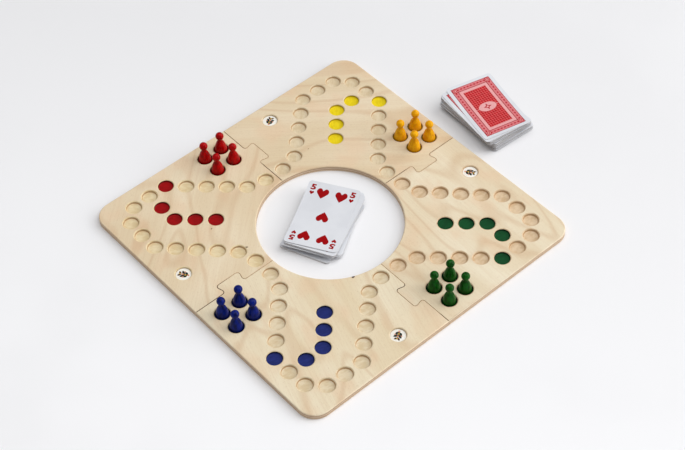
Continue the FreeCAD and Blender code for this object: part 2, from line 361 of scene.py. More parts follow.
@dataclass(frozen=True)
class PlywoodEdge(Finish):
    """Sawn and sanded plywood edge.

    The eye sees pale plies cut along their fibres and pinkish brown plies of end grain in turn,
    with a thin dark glue line at each joint.
    """

    constants = {"Roughness": 0.75, "IOR": 1.45}
    ply: float
    long_grain: str = "#E0CBAE"
    end_grain: str = "#C4A284"
    glue: str = "#7A5A40"
    glue_line: float = 0.16
    waver: float = 0.26

    def draw(self, tree: NodeTree) -> Drawn:
        """Draws the plies by their height in the board."""
        metres = add_node(tree, "SeparateXYZ", {0: add_node(tree, "TexCoord").outputs["Object"]})
        waver = Unevenness((18.0, 18.0, 40.0)).draw(tree)
        inputs = {0: metres.outputs["Z"], 1: 1 / (self.ply * MM)}
        level = add_node(tree, "Math", inputs, operation="MULTIPLY")
        inputs = {0: waver, 1: self.waver, 2: level}
        layer = add_node(tree, "Math", inputs, operation="MULTIPLY_ADD")
        layer = add_node(tree, "Math", {0: layer, 1: self.waver / 2}, operation="SUBTRACT")
        ply = add_node(tree, "Math", {0: layer}, operation="FLOOR")
        crossed = add_node(tree, "Math", {0: ply, 1: 2.0}, operation="MODULO")
        from_glue = add_node(tree, "Math", {0: layer, 1: 0.5}, operation="PINGPONG")
        pores = Unevenness((1.1, 1.1, 0.3), detail=3.0).draw(tree)
        fibres = Unevenness((9.0, 9.0, 0.3), detail=3.0).draw(tree)
        pale = Tinge(self.end_grain, 0.35, 0.75, 0.4).over(self.long_grain, fibres)
        brown = Tinge(self.glue, 0.35, 0.75, 0.35).over(self.end_grain, pores)
        colour = Tinge(brown, 0.4, 0.6).over(pale, crossed)
        half_glue = 0.5 * self.glue_line / self.ply
        colour = Tinge(self.glue, 1.6 * half_glue, 0.0, 0.75).over(colour, from_glue)
        return colour, pores, 0.05


@dataclass(frozen=True)
class SeamArris(Finish):
    """Sharp sawn edge along a seam, rubbed by its neighbour and brown with painted shade.

    The eye sees a thin brown line that darkens and fades along its way: painted shade of the gap.
    """

    constants = {"Roughness": 0.8, "IOR": 1.45}
    colour: str
    fibre: str
    gap_shade: tuple[KnotOrShadePatch, ...] = ()

    def draw(self, tree: NodeTree) -> Drawn:
        """Draws the cut fibres and the stretches of painted shade."""
        fibres = Unevenness((1.4, 1.4, 1.4), detail=3.0).draw(tree)
        colour = Tinge(self.fibre, 0.35, 0.65).over(self.colour, fibres)
        # Painted shade: darker stretches along the gap between the quarters.
        for stretch in self.gap_shade:
            colour = stretch.draw(tree, colour)
        return colour, fibres, 0.04


@dataclass(frozen=True)
class PitPaint(Finish):
    """Acrylic paint brushed into a milled pit: an even, deep satin coat.

    The eye sees one strong colour over raised fibres, a little darker where the brush left more.
    Up the wall the colour turns darker by height: painted shade in the pit.
    """

    constants = {"Roughness": 0.55, "IOR": 1.5, "Specular IOR Level": 0.12}
    colour: str
    shade: str
    wall_shade: str
    grain: float
    floor: float = 3.9
    climb: float = 1.1

    def draw(self, tree: NodeTree) -> Drawn:
        """Draws the coat's faint brush streaks, and painted shade darkening it up the wall."""
        strokes = Unevenness((8.0, 1.3, 8.0), self.grain, detail=3.0).draw(tree)
        clouds = Unevenness((6.0, 6.0, 6.0), detail=1.0).draw(tree)
        colour = Tinge(self.shade, 0.4, 0.7, 0.5).over(self.colour, strokes)
        colour = Tinge(self.shade, 0.45, 0.7, 0.4).over(colour, clouds)
        metres = add_node(tree, "SeparateXYZ", {0: add_node(tree, "TexCoord").outputs["Object"]})
        foot, full = self.floor * MM, (self.floor + self.climb) * MM
        # Painted shade: the coat darkens by height from the pit's floor up its wall.
        colour = Tinge(self.wall_shade, foot, full).over(colour, metres.outputs["Z"])
        return colour, strokes, 0.08


@dataclass(frozen=True)
class PawnLacquer(Finish):
    """Dipped gloss lacquer on turned beech.

    The eye sees a deep, clear colour with soft small highlights, broken by faint lathe lines, and
    darker low on the skirt: painted shade.
    """

    constants = {"Roughness": 0.22, "IOR": 1.5, "Specular IOR Level": 0.1}
    colour: str
    shade: str

    def draw(self, tree: NodeTree) -> Drawn:
        """Draws the lathe lines and the uneven coat."""
        coat = Unevenness((3.5, 3.5, 6.0), detail=3.0).draw(tree)
        lathe = Unevenness((60.0, 60.0, 0.6), detail=2.0).draw(tree)
        metres = add_node(tree, "SeparateXYZ", {0: add_node(tree, "TexCoord").outputs["Object"]})
        colour = Tinge(self.shade, 0.38, 0.68).over(self.colour, coat)
        # Painted shade: the colour darkens towards the table, from 12 mm down to 3 mm high.
        colour = Tinge(self.shade, 12 * MM, 3 * MM, 0.7).over(colour, metres.outputs["Z"])
        uneven = add_node(tree, "Math", {0: lathe, 1: coat}, operation="ADD")
        return colour, uneven, 0.05


# Paper and ink


@dataclass(frozen=True)
class CardBoard(Finish):
    """Coated playing card board, with a linen emboss.

    The eye sees a cool, clean white that clouds a little with handling. The real emboss has a
    pitch of about 0.4 mm and is drawn 0.9 mm wide, so that it shows in the sheen.
    """

    constants = {"Roughness": 0.4, "IOR": 1.5}
    colour: str = "#DCDEE3"
    cloud: str = "#D0D2D8"
    linen: float = 0.9

    def draw(self, tree: NodeTree) -> Drawn:
        """Draws faint clouding in the coat and the linen emboss."""
        clouds = Unevenness((24.0, 24.0, 24.0)).draw(tree)
        colour = Tinge(self.cloud, 0.4, 0.7, 0.5).over(self.colour, clouds)
        return colour, linen(tree, self.linen), 0.006


def linen(tree: NodeTree, pitch: float, turn: float = 30.0) -> Node:
    """Height of a linen emboss: two crossed ripples.

    Args:
        tree: the material's node tree.
        pitch: distance between ripples, in millimetres.
        turn: angle of the ripples from +X, in degrees.

    Returns:
        The node that gives the height.
    """
    inputs = {
        "Vector": add_node(tree, "TexCoord").outputs["Object"],
        "Rotation": (0.0, 0.0, math.radians(turn)),
        "Scale": (pitch * MM / math.tau,) * 3,
    }
    along = add_node(tree, "Mapping", inputs, vector_type="TEXTURE")
    axes = add_node(tree, "SeparateXYZ", {0: along})
    weft = add_node(tree, "Math", {0: axes.outputs["X"]}, operation="SINE")
    warp = add_node(tree, "Math", {0: axes.outputs["Y"]}, operation="SINE")
    return add_node(tree, "Math", {0: weft, 1: warp}, operation="ADD")


@dataclass(frozen=True)
class CardEdge(Finish):
    """Guillotined edges of stacked cards, grey with painted shade on the pile's sides.

    The eye sees fine level lines, pale where a card stands out and dark between cards, where the
    dark is painted shade.
    """

    constants = {"Roughness": 0.85, "IOR": 1.45}
    card: float
    pale: str = "#BBB7B4"
    slit_shade: str = "#8E8987"
    shade_patch: str = "#767170"

    def draw(self, tree: NodeTree) -> Drawn:
        """Draws the painted shade between the cards and its uneven patches."""
        metres = add_node(tree, "SeparateXYZ", {0: add_node(tree, "TexCoord").outputs["Object"]})
        inputs = {0: metres.outputs["Z"], 1: self.card * MM}
        level = add_node(tree, "Math", inputs, operation="DIVIDE")
        rise = add_node(tree, "Math", {0: level, 1: 0.5}, operation="PINGPONG")
        shade_patch = Unevenness((9.0, 9.0, 0.9), detail=3.0).draw(tree)
        # Painted shade: darker lines between the cards and uneven darker patches.
        colour = Tinge(self.slit_shade, 0.5, 0.0, 0.6).over(self.pale, rise)
        colour = Tinge(self.shade_patch, 0.45, 0.75, 0.6).over(colour, shade_patch)
        return colour, shade_patch, 0.03


@dataclass(frozen=True)
class PrintInk(Finish):
    """Offset ink on coated board: one clean colour, with the board's emboss in its sheen."""

    constants = {"Roughness": 0.5, "IOR": 1.5, "Specular IOR Level": 0.08}
    colour: str
    mottle: str
    linen: float = 0.9

    def draw(self, tree: NodeTree) -> Drawn:
        """Draws the ink's slight mottle and the linen emboss."""
        grain = Unevenness((1.6, 1.6, 1.6), detail=3.0).draw(tree)
        colour = Tinge(self.mottle, 0.4, 0.7, 0.6).over(self.colour, grain)
        return colour, linen(tree, self.linen), 0.006


@dataclass(frozen=True)
class NetInk(Finish):
    """Field of a card's back: a fine pale net printed on red.

    The eye sees a red ground crossed by pink lines, with a dark dot in each mesh. The net follows
    the card, so it is turned and centred with it.
    """

    constants = {"Roughness": 0.5, "IOR": 1.5, "Specular IOR Level": 0.08}
    angle: float
    middle: Vector
    pitch: float = 2.9
    line: float = 0.34
    ground: str = "#C4222B"
    deep: str = "#B01B24"
    dot: str = "#8A1018"
    net: str = "#DE7A78"

    def draw(self, tree: NodeTree) -> Drawn:
        """Draws the ground, the dots and the net."""
        inputs = {
            "Vector": add_node(tree, "TexCoord").outputs["Object"],
            "Location": (self.middle.x, self.middle.y, 0.0),
            "Rotation": (0.0, 0.0, self.angle),
            "Scale": (self.pitch * MM, self.pitch * MM, MM),
        }
        meshes = add_node(tree, "Mapping", inputs, vector_type="TEXTURE")
        axes = add_node(tree, "SeparateXYZ", {0: meshes})
        across = add_node(tree, "Math", {0: axes.outputs["X"], 1: 0.5}, operation="PINGPONG")
        along = add_node(tree, "Math", {0: axes.outputs["Y"], 1: 0.5}, operation="PINGPONG")
        from_line = add_node(tree, "Math", {0: across, 1: along}, operation="MINIMUM")
        from_knot = add_node(tree, "Math", {0: across, 1: along}, operation="ADD")
        mottle = Unevenness((3.0, 3.0, 3.0)).draw(tree)
        half = 0.5 * self.line / self.pitch
        colour = Tinge(self.deep, 0.35, 0.7).over(self.ground, mottle)
        colour = Tinge(self.dot, 0.7, 0.88, 0.7).over(colour, from_knot)
        colour = Tinge(self.net, 1.7 * half, 0.4 * half, 0.8).over(colour, from_line)
        return colour, linen(tree, 0.9, math.degrees(self.angle)), 0.006


@dataclass(frozen=True)
class StudioPaper(Finish):
    """Seamless background paper: matt, clean, nearly white, with painted shade towards one side.
    """

    constants = {"Roughness": 0.95}
    name: str = "studio_paper"
    colour: str = "#F9F9FB"
    # Grey of the painted shade where the light falls off.
    far: str = "#E4E4E6"
    cloud: str = "#ECECEE"
    fade_turn: float = 21.5
    fade_length: float = 900.0

    def draw(self, tree: NodeTree) -> Drawn:
        """Draws the paper's painted shade towards one side and its faint unevenness."""
        inputs = {
            "Vector": add_node(tree, "TexCoord").outputs["Object"],
            "Rotation": (0.0, 0.0, math.radians(self.fade_turn)),
            "Scale": (self.fade_length * MM,) * 3,
        }
        along = add_node(tree, "Mapping", inputs, vector_type="TEXTURE")
        fade = add_node(tree, "SeparateXYZ", {0: along})
        clouds = Unevenness((160.0, 160.0, 160.0)).draw(tree)
        # Painted shade: the paper greys along one direction, as the light falls off.
        colour = Tinge(self.far, -0.5, 0.5).over(self.colour, fade.outputs["X"])
        return Tinge(self.cloud, 0.4, 0.7, 0.3).over(colour, clouds), None, 0.0


# Modelling by hand


def select_only(*pieces: Object) -> None:
    """Selects these pieces and nothing else, and makes the first one active."""
    bpy.ops.object.select_all(action="DESELECT")
    for piece in pieces:
        piece.select_set(True)
    bpy.context.view_layer.objects.active = pieces[0]


@contextmanager
def editing(piece: Object) -> Iterator[BMesh]:
    """Edit mode on one piece, with nothing else selected.

    Args:
        piece: a mesh object.

    Yields:
        Its edit mesh.
    """
    select_only(piece)
    bpy.ops.object.mode_set(mode="EDIT")
    bpy.ops.mesh.select_mode(type="VERT")
    yield bmesh.from_edit_mesh(piece.data)
    bpy.ops.object.mode_set(mode="OBJECT")


def pick_edges(mesh: BMesh, test: Callable[[BMEdge], bool]) -> None:
    """Selects the edges of an edit mesh that pass a test."""
    bpy.ops.mesh.select_mode(type="EDGE")
    bpy.ops.mesh.select_all(action="DESELECT")
    for edge in mesh.edges:
        edge.select_set(bool(test(edge)))


def dissolve_flat() -> None:
    """Makes each flat face of a merged CAD solid, in edit mode, one face."""
    bpy.ops.mesh.select_all(action="SELECT")
    bpy.ops.mesh.dissolve_limited(angle_limit=math.radians(FLAT_ANGLE))


def copy_of(source: Object, name: str, place: Matrix | None = None) -> Object:
    """Copies a piece with a mesh of its own.

    Args:
        source: the piece to copy.
        name: the copy's name.
        place: where the copy's mesh goes, from where the source's is.

    Returns:
        The copy, with its object at the origin.
    """
    mesh = source.data.copy()
    mesh.name = name
    if place is not None:
        mesh.transform(place)
    copy = bpy.data.objects.new(name, mesh)
    bpy.context.scene.collection.objects.link(copy)
    return copy


def discard(*pieces: Object) -> None:
    """Removes pieces that were only patterns to copy."""
    for piece in pieces:
        bpy.data.objects.remove(piece)


def dress(piece: Object, *materials: Material) -> None:
    """Gives a piece these materials in place of those it has."""
    piece.data.materials.clear()
    for material in materials:
        piece.data.materials.append(material)


def smooth(piece: Object, angle: float = 32.0) -> None:
    """Shades a piece smooth where its faces meet at less than an angle in degrees."""
    select_only(piece)
    bpy.ops.object.shade_smooth_by_angle(angle=math.radians(angle))


def joined(name: str, pieces: Sequence[Object]) -> Object:
    """Joins pieces into one and names it."""
    select_only(*pieces)
    if len(pieces) > 1:
        bpy.ops.object.join()
    pieces[0].name = pieces[0].data.name = name
    return pieces[0]


def hand_over(piece: Object, body: str, slot: str, *nodes: str) -> None:
    """Gives a finished piece its body, hides the nodes it stands for, and reports it."""
    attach(piece, body)
    if nodes:
        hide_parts(*nodes)
    log.info("%s on %s: %d faces", piece.name, body, len(piece.data.polygons))


def merge_close(piece: Object, distance: float = 0.002) -> None:
    """Merges a piece's vertices that lie within a distance in millimetres."""
    with editing(piece):
        bpy.ops.mesh.select_all(action="SELECT")
        bpy.ops.mesh.remove_doubles(threshold=distance * MM)


def merged_copy(node: str, name: str) -> Object:
    """Copies a CAD node and merges its loose triangles, so that its edges can be worked."""
    copy = copy_of(frame["nodes"][node], name)
    merge_close(copy)
    return copy


def round_edges(
    mesh: BMesh,
    test: Callable[[BMEdge], bool],
    radius: float,
    steps: int,
    material: int = -1,
) -> None:
    """Rounds the edges of an edit mesh that pass a test.

    Args:
        mesh: the edit mesh.
        test: says whether an edge is wanted.
        radius: in millimetres.
        steps: faces from one side of the rounding to the other.
        material: number of the new faces' material, or -1 for that of the faces beside them.
    """
    pick_edges(mesh, test)
    bpy.ops.mesh.bevel(
        offset=radius * MM,
        segments=steps,
        affect="EDGES",
        clamp_overlap=False,
        loop_slide=False,
        material=material,
    )


# Flat shapes for the prints


class Corner(Enum):
    """How an outline runs through one of its points, by the curve's handle type."""

    SHARP = "VECTOR"
    ROUND = "AUTO"


@dataclass(frozen=True)
class OutlinePoint:
    """A point of an outline, in millimetres."""

    x: float
    y: float
    corner: Corner = Corner.ROUND


Outline = tuple[OutlinePoint, ...]


def rectangle(length: float, width: float) -> Outline:
    """Rectangle round the origin, its length along X."""
    corners = ((-1, -1), (1, -1), (1, 1), (-1, 1))
    return tuple(OutlinePoint(x * length / 2, y * width / 2, Corner.SHARP) for x, y in corners)


def diamond(length: float, width: float, x: float = 0.0, y: float = 0.0) -> Outline:
    """Diamond round a place, its length along X."""
    corners = ((length / 2, 0), (0, width / 2), (-length / 2, 0), (0, -width / 2))
    return tuple(OutlinePoint(x + right, y + up, Corner.SHARP) for right, up in corners)


def oval(length: float, width: float, x: float = 0.0, y: float = 0.0) -> Outline:
    """Oval round a place, its length along X."""
    angles = [math.radians(45 * i) for i in range(8)]
    return tuple(
        OutlinePoint(x + length / 2 * math.cos(a), y + width / 2 * math.sin(a)) for a in angles
    )


def heart(width: float, height: float) -> Outline:
    """Heart round the origin, its tip towards -Y."""
    right = ((0.29, -0.17), (0.49, 0.2), (0.26, 0.5))
    tip = OutlinePoint(0.0, -0.5 * height, Corner.SHARP)
    cleft = OutlinePoint(0.0, 0.28 * height, Corner.SHARP)
    rise = [OutlinePoint(x * width, y * height) for x, y in right]
    fall = [OutlinePoint(-x * width, y * height) for x, y in reversed(right)]
    return (tip, *rise, cleft, *fall)


def printed_shape(name: str, outlines: Sequence[Outline], film: float, ink: Material) -> Object:
    """Prints a filled shape: a flat curve with the ink's thickness, made a mesh.

    Args:
        name: the shape's name.
        outlines: closed lines, where one inside another cuts a hole.
        film: thickness of the ink, in millimetres.
        ink: the ink.

    Returns:
        The shape, with its underside on z = 0.
    """
    curve = bpy.data.curves.new(name, "CURVE")
    curve.dimensions = "2D"
    curve.fill_mode = "BOTH"
    curve.resolution_u = 5
    curve.extrude = film * MM / 2
    for outline in outlines:
        spline = curve.splines.new("BEZIER")
        spline.bezier_points.add(len(outline) - 1)
        spline.use_cyclic_u = True
        for knot, point in zip(spline.bezier_points, outline):
            knot.co = (point.x * MM, point.y * MM, 0.0)
            knot.handle_left_type = knot.handle_right_type = point.corner.value
    shape = bpy.data.objects.new(name, curve)
    bpy.context.scene.collection.objects.link(shape)
    return made_mesh(shape, film, ink)


def printed_digit(
    name: str, digit: str, size: float, weight: float, film: float, ink: Material
) -> Object:
    """Prints a plain bold digit, centred on the origin.

    Args:
        name: the shape's name.
        digit: the digit.
        size: font size, in millimetres.
        weight: how far its strokes are thickened on each side, in millimetres.
        film: thickness of the ink, in millimetres.
        ink: the ink.

    Returns:
        The digit, with its underside on z = 0.
    """
    bpy.ops.object.select_all(action="DESELECT")
    bpy.ops.object.text_add()
    shape = bpy.context.object
    shape.name = name
    shape.data.body = digit
    shape.data.align_x = shape.data.align_y = "CENTER"
    shape.data.size = size * MM
    shape.data.offset = weight * MM
    shape.data.extrude = film * MM / 2
    return made_mesh(shape, film, ink)


def made_mesh(shape: Object, film: float, ink: Material) -> Object:
    """Makes a flat curve or text a closed mesh that stands on z = 0, and inks it."""
    select_only(shape)
    bpy.ops.object.convert(target="MESH")
    shape = bpy.context.object
    merge_close(shape)
    shape.data.transform(Matrix.Translation((0.0, 0.0, film * MM / 2)))
    dress(shape, ink)
    return shape


# Board


@dataclass(frozen=True)
class PitPlan:
    """Places of the painted pits in the quarter between +X and +Y, in millimetres."""

    half_side: float = 177.75
    edge_margin: float = 21.75
    corner_margin: float = 60.05
    pitch: float = 21.7
    lane_angle: float = 46.8
    nest_pitch: float = 22.0
    nest_edge_margin: float = 18.95
    nest_seam_margin: float = 18.5

    def painted(self) -> list[Vector]:
        """Middles of the start pit and the four finish pits."""
        turn = Vector((self.half_side - self.edge_margin, self.half_side - self.corner_margin))
        start = turn - Vector((0.0, self.pitch))
        lane = math.radians(180 + self.lane_angle)
        inwards = self.pitch * Vector((math.cos(lane), math.sin(lane)))
        outer = turn - Vector((self.pitch, 0.0))
        bend = turn - Vector((2 * self.pitch, 0.0))
        return [start, outer, bend, bend + inwards, bend + 2 * inwards]

    def nest(self) -> list[Vector]:
        """Middles of the four pits where the pawns wait."""
        first = Vector((self.half_side - self.nest_edge_margin, self.nest_seam_margin))
        steps = [Vector((-column, line)) for line in (0, 1) for column in (0, 1)]
        return [first + self.nest_pitch * step for step in steps]


class QuarterFace(Enum):
    """Which finish a face of a quarter has, by its material's number."""

    VENEER = 0
    EDGE = 1
    FLOOR = 2
    WALL = 3
    PAINT = 4
    # Paint of the nest pits, darker all over: painted shade round the pawns' bases.
    SHADED_NEST = 5
    SEAM = 6


@dataclass
class PlywoodQuarter:
    """One quarter of the board: veneer faces, ply edges, milled pits and painted pits.

    Sizes are in millimetres. A play is how far a place may lie from the one looked for, and a tilt
    is the share of a face's normal that points up or down.
    """

    player: Player
    finishes: dict[QuarterFace, Finish]
    plan: PitPlan = PitPlan()
    pit_radius: float = 8.2
    pit_depth: float = 2.6
    pit_round: float = 1.15
    pit_cove: float = 1.35
    pit_steps: int = 3
    painted_rim: float = 0.2
    border_round: float = 1.0
    arris: float = 0.35
    arris_steps: int = 2
    well_radius: float = 77.5
    corner_radius: float = 20.0
    level_play: float = 0.01
    foot_play: float = 0.5
    floor_play: float = 0.1
    border_play: float = 0.15
    wall_tilt: float = 0.2
    cove_tilt: float = 0.6
    floor_tilt: float = 0.8
    flat_tilt: float = 0.999

    def build(self) -> None:
        """Rounds the edges of the sawn and milled blank and dresses each face."""
        node = f"board_quarter_{self.player.value}"
        quarter = merged_copy(node, f"plywood_quarter_{self.player.value}")
        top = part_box(node)[1].z
        pit_floor = top - self.pit_depth * MM
        dress(quarter, *(self.finishes[kind].material() for kind in QuarterFace))
        with editing(quarter) as mesh:
            dissolve_flat()
            is_pit = lambda edge: self.is_rim(edge, top, pit_floor)
            round_edges(mesh, is_pit, self.pit_round, self.pit_steps, QuarterFace.FLOOR.value)
            is_foot = lambda edge: self.is_rim(edge, pit_floor, top - self.pit_round * MM)
            round_edges(mesh, is_foot, self.pit_cove, 2 * self.pit_steps)
            is_border = lambda edge: self.is_rim(edge, top, 0.0) and self.on_border(edge)
            round_edges(mesh, is_border, self.border_round, self.pit_steps)
            is_seam = lambda edge: self.is_rim(edge, top, 0.0)
            round_edges(mesh, is_seam, self.arris, self.arris_steps, QuarterFace.SEAM.value)
            is_under = lambda edge: self.is_rim(edge, 0.0, top)
            round_edges(mesh, is_under, self.arris, self.arris_steps)
        smooth(quarter)
        painted, nest = (
            [self.on_board(place) for place in places]
            for places in (self.plan.painted(), self.plan.nest())
        )
        for face in quarter.data.polygons:
            face.material_index = self.finish_of(face, top, painted, nest).value
            face.use_smooth = abs(face.normal.z) < self.flat_tilt
        hand_over(quarter, f"quarter_{self.player.value}", "birch_plywood", node)

    def on_board(self, place: Vector) -> Vector:
        """Turns a place of the first quarter to this one, in metres."""
        return Matrix.Rotation(self.player.turn, 2) @ place * MM

    def is_rim(self, edge: BMEdge, level: float, foot: float) -> bool:
        """Says whether an edge lies at a level, where a wall from another level ends.

        Args:
            edge: an edge of the blank.
            level: height of the edge, in metres.
            foot: height at which its wall starts, in metres.

        Returns:
            Whether it does.
        """
        if any(abs(vertex.co.z - level) > self.level_play * MM for vertex in edge.verts):
            return False
        walls = [face for face in edge.link_faces if abs(face.normal.z) < self.wall_tilt]
        if len(walls) != 1 or len(edge.link_faces) != 2:
            return False
        heights = [vertex.co.z for vertex in walls[0].verts]
        far = min(heights) if level > foot else max(heights)
        return abs(far - foot) < self.foot_play * MM

    def near_border(self, place: Vector, reach: float) -> bool:
        """Says whether a place is within a reach, in mm, of the board's outline or the well's."""
        x, y = (abs(side) / MM for side in place.to_2d())
        bend = self.plan.half_side - self.corner_radius
        to_outline = self.plan.half_side - max(x, y)
        if min(x, y) > bend:
            to_outline = self.corner_radius - math.hypot(x - bend, y - bend)
        return min(to_outline, math.hypot(x, y) - self.well_radius) < reach

    def on_border(self, edge: BMEdge) -> bool:
        """Says whether both ends of an edge lie on the board's outline or the well's."""
        return all(self.near_border(vertex.co, self.border_play) for vertex in edge.verts)

    def finish_of(
        self,
        face: MeshPolygon,
        top: float,
        painted: Sequence[Vector],
        nest: Sequence[Vector],
    ) -> QuarterFace:
        """Names the finish of a face by its place and the way it looks.

        Args:
            face: a face of the quarter.
            top: height of the board's top, in metres.
            painted: middles of the painted pits, in metres.
            nest: middles of the pits where the pawns wait, in metres.

        Returns:
            The finish.
        """
        place, floor = face.center, top - (self.pit_depth + self.floor_play) * MM
        tilt = abs(face.normal.z)
        reach = (self.pit_radius + self.painted_rim) * MM
        if floor < place.z < top - self.level_play * MM:
            for centres, coat in ((painted, QuarterFace.PAINT), (nest, QuarterFace.SHADED_NEST)):
                if any((place.to_2d() - centre).length < reach for centre in centres):
                    return coat
        if face.material_index in (QuarterFace.FLOOR.value, QuarterFace.SEAM.value):
            return QuarterFace(face.material_index)
        at_border = self.near_border(place, 1.2 * self.border_round)
        in_pit = floor < place.z < top - self.pit_round * MM and not at_border
        if in_pit and face.normal.z > self.wall_tilt:
            return QuarterFace.FLOOR if tilt > self.floor_tilt else QuarterFace.WALL
        in_rounding = at_border and place.z > top - self.border_round * MM
        if tilt > self.cove_tilt or in_rounding:
            return QuarterFace.VENEER
        return QuarterFace.WALL if place.z > floor and not at_border else QuarterFace.EDGE


# Printed discs


@dataclass(frozen=True)
class Leaf:
    """A pointed leaf or a round berry of the disc's sprig, in millimetres."""

    x: float
    y: float
    length: float
    width: float
    angle: float
    layer: int
    pointed: bool = True

    def outline(self) -> Outline:
        """Outline of the leaf or berry at its place."""
        if not self.pointed:
            return oval(self.length, self.width, self.x, self.y)
        turn = Matrix.Rotation(math.radians(self.angle), 2)
        shape = ((0.5, 0.0, Corner.SHARP), (0.05, 0.5, Corner.ROUND))
        shape += ((-0.5, 0.0, Corner.SHARP), (0.05, -0.5, Corner.ROUND))
        points = []
        for along, across, corner in shape:
            place = turn @ Vector((along * self.length, across * self.width))
            points.append(OutlinePoint(self.x + place.x, self.y + place.y, corner))
        return tuple(points)


SPRIG = (
    Leaf(-0.2, 0.0, 10.6, 1.0, 32.0, 0),
    Leaf(-3.0, 0.1, 5.6, 2.8, 82.0, 0),
    Leaf(-0.4, 2.2, 5.8, 2.9, 74.0, 0),
    Leaf(2.6, 3.6, 4.4, 2.2, 62.0, 1),
    Leaf(-1.6, -2.9, 5.8, 2.8, -12.0, 0),
    Leaf(1.6, -1.4, 6.2, 3.0, -20.0, 0),
    Leaf(4.2, 0.9, 4.2, 2.2, -14.0, 1),
    Leaf(-4.2, -2.9, 2.2, 2.2, 0.0, 2, pointed=False),
    Leaf(-1.9, -1.0, 2.0, 2.0, 0.0, 3, pointed=False),
    Leaf(0.9, 0.5, 2.2, 2.2, 0.0, 2, pointed=False),
    Leaf(3.4, 2.0, 1.9, 1.9, 0.0, 3, pointed=False),
    Leaf(-1.9, 2.9, 1.6, 1.6, 0.0, 2, pointed=False),
    Leaf(1.2, -3.2, 1.7, 1.7, 0.0, 2, pointed=False),
)


@dataclass
class PictureDisc:
    """Printed white disc in a quarter's recess, with a small dark sprig with bright berries.

    Sizes are in millimetres. Faces of the disc that meet at more than the rim's angle, in degrees,
    make its rim.
    """

    player: Player
    paper: CardBoard
    inks: tuple[PrintInk, ...]
    sprig: tuple[Leaf, ...] = SPRIG
    film: float = 0.04
    arris: float = 0.12
    arris_steps: int = 2
    rim_angle: float = 60.0

    def build(self) -> None:
        """Rounds the disc's rim and prints the sprig on it."""
        node = f"picture_disc_{self.player.value}"
        disc = merged_copy(node, f"printed_disc_{self.player.value}")
        low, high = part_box(node)
        with editing(disc) as mesh:
            dissolve_flat()
            is_rim = lambda edge: edge.calc_face_angle(0.0) > math.radians(self.rim_angle)
            round_edges(mesh, is_rim, self.arris, self.arris_steps)
        dress(disc, self.paper.material())
        smooth(disc)
        hand_over(disc, f"quarter_{self.player.value}", "printed_disc", node)
        inks = [ink.material() for ink in self.inks]
        shapes = [
            printed_shape("leaf", [leaf.outline()], self.film * (1 + leaf.layer), inks[leaf.layer])
            for leaf in self.sprig
        ]
        sprig = joined(f"disc_print_{self.player.value}", shapes)
        middle = (low + high) / 2
        place = Matrix.Translation((middle.x, middle.y, high.z))
        sprig.data.transform(place @ Matrix.Rotation(self.player.turn, 4, "Z"))
        hand_over(sprig, f"quarter_{self.player.value}", "printed_disc")


# Pawns


